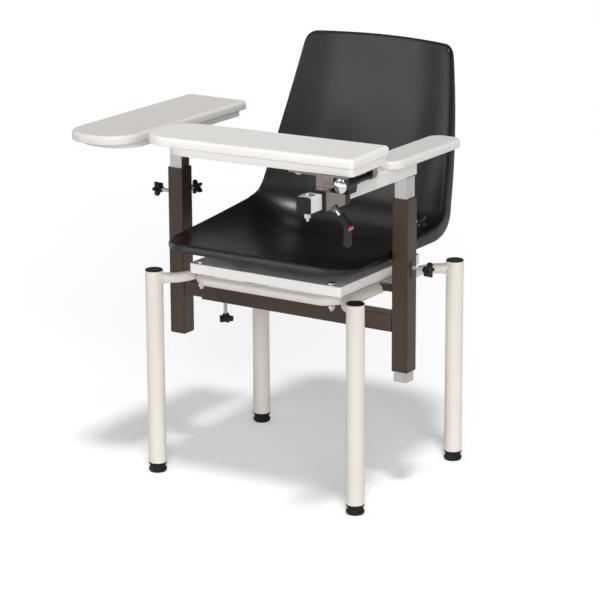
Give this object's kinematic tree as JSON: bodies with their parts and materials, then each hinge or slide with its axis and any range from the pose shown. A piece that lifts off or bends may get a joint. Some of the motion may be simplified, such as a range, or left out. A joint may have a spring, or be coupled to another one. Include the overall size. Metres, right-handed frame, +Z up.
{
  "type": "phlebotomy chair",
  "caption": "Blood-drawing chair: black bucket seat on a white tube frame, with height-adjustable arm boards on square posts, a flip-up board on a slider, and clamping knobs.",
  "frame": {"origin": "middle of the chair's bounding box, on the floor", "axes": "+Z up, +X to the right seen from the front, the sitter faces -Y"},
  "size_m": [0.7112, 0.748, 0.8967],
  "materials": {
    "white_enamel": "satin powder coat",
    "bar_enamel": "satin powder coat",
    "white_board": "smooth satin laminate",
    "bronze_enamel": "satin powder coat",
    "seat_plastic": "fine-grained satin",
    "black_plastic": "satin",
    "black_rubber": "semi-matte",
    "chrome_tube": "polished",
    "bright_fasteners": "zinc plated",
    "red_plastic": "gloss"
  },
  "bodies": {
    "base": {"front_left_leg": "white_enamel", "front_right_leg": "white_enamel", "rear_left_leg": "white_enamel", "rear_right_leg": "white_enamel", "leg_caps": "black_plastic", "leg_feet": "black_rubber", "left_side_rail": "white_enamel", "right_side_rail": "white_enamel", "front_seat_ring": "white_enamel", "rear_seat_ring": "white_enamel", "seat_pan": "white_enamel", "pan_bolts": "bright_fasteners", "pan_nuts": "bright_fasteners", "seat_shell": "seat_plastic", "shell_spacers": "black_plastic", "shell_bolts": "bright_fasteners", "right_post": "bronze_enamel", "crossbar_sleeve": "bronze_enamel", "left_hanger": "bronze_enamel", "right_hanger": "bronze_enamel", "hanger_bolts": "bright_fasteners", "post_bracket": "bronze_enamel"},
    "left_arm_frame": {"inner_crossbar": "bronze_enamel", "left_post": "bronze_enamel"},
    "left_arm": {"left_column": "chrome_tube", "left_column_plate": "chrome_tube", "left_plate_screws": "bright_fasteners", "left_board_core": "white_board", "left_board_top": "white_board"},
    "right_arm": {"right_column": "chrome_tube", "arm_bar": "bar_enamel", "bar_front_plug": "black_plastic", "bar_rear_plug": "black_plastic", "stop_bolt": "bright_fasteners", "stop_nut": "bright_fasteners", "armrest_pad": "white_board", "armrest_screws": "bright_fasteners"},
    "slider": {"slider_sleeve": "chrome_tube", "front_bushing": "black_plastic", "hinge_ear": "black_plastic", "hinge_pin": "chrome_tube", "torsion_sleeve": "black_plastic"},
    "flip_arm": {"flip_bracket": "chrome_tube", "hinge_barrel": "black_plastic", "bracket_screws": "bright_fasteners", "flip_board_core": "white_board", "flip_board_top": "white_board"},
    "clamping_lever": {"clamp_screw": "bright_fasteners", "clamp_lever": "black_plastic"},
    "button": {"release_button": "red_plastic"},
    "left_side_clamp": {"left_side_knob": "black_plastic", "left_side_screw": "bright_fasteners"},
    "left_rear_clamp": {"left_rear_knob": "black_plastic", "left_rear_screw": "bright_fasteners"},
    "right_rear_clamp": {"right_rear_knob": "black_plastic", "right_rear_screw": "bright_fasteners"},
    "lower_right_clamp": {"lower_right_knob": "black_plastic", "lower_right_screw": "bright_fasteners"},
    "crossbar_clamp": {"crossbar_knob": "black_plastic", "crossbar_screw": "bright_fasteners"}
  },
  "joints": [
    {"name": "left_arm_in_out", "type": "slide", "parent": "base", "child": "left_arm_frame", "axis": [1, 0, 0], "range_m": [-0.1, 0.04]},
    {"name": "left_arm_height", "type": "slide", "parent": "left_arm_frame", "child": "left_arm", "axis": [0, 0, 1], "range_m": [-0.06, 0.08]},
    {"name": "right_arm_height", "type": "slide", "parent": "base", "child": "right_arm", "axis": [0, 0, 1], "range_m": [-0.04, 0.1]},
    {"name": "slider_travel", "type": "slide", "parent": "right_arm", "child": "slider", "axis": [0, 1, 0], "range_m": [-0.008, 0.06]},
    {"name": "flip_arm_hinge", "type": "hinge", "parent": "slider", "child": "flip_arm", "pos_m": [0.3283, -0.29489, 0.7244], "axis": [0, 1, 0], "range_deg": [0, 95]},
    {"name": "lever_turn", "type": "hinge", "parent": "slider", "child": "clamping_lever", "pos_m": [0.31858, -0.29139, 0.66812], "axis": [0.7071, 0, -0.7071], "range_deg": [-60, 60]},
    {"name": "button_press", "type": "slide", "parent": "clamping_lever", "child": "button", "axis": [0.7071, 0, -0.7071], "range_m": [-0.003, 0], "stiffness_N_per_m": 400, "springref_m": 0.001},
    {"name": "left_side_knob_turn", "type": "hinge", "parent": "left_arm_frame", "child": "left_side_clamp", "pos_m": [-0.3073, 0.00711, 0.5751], "axis": [-1, 0, 0], "continuous": true},
    {"name": "left_rear_knob_turn", "type": "hinge", "parent": "left_arm_frame", "child": "left_rear_clamp", "pos_m": [-0.2728, 0.04711, 0.5751], "axis": [0, 1, 0], "continuous": true},
    {"name": "right_rear_knob_turn", "type": "hinge", "parent": "base", "child": "right_rear_clamp", "pos_m": [0.2903, 0.04711, 0.5751], "axis": [0, 1, 0], "continuous": true},
    {"name": "lower_right_knob_turn", "type": "hinge", "parent": "base", "child": "lower_right_clamp", "pos_m": [0.3263, 0.00711, 0.4897], "axis": [1, 0, 0], "continuous": true},
    {"name": "crossbar_knob_turn", "type": "hinge", "parent": "base", "child": "crossbar_clamp", "pos_m": [-0.158, 0.00711, 0.3306], "axis": [0, 0, -1], "continuous": true}
  ]
}
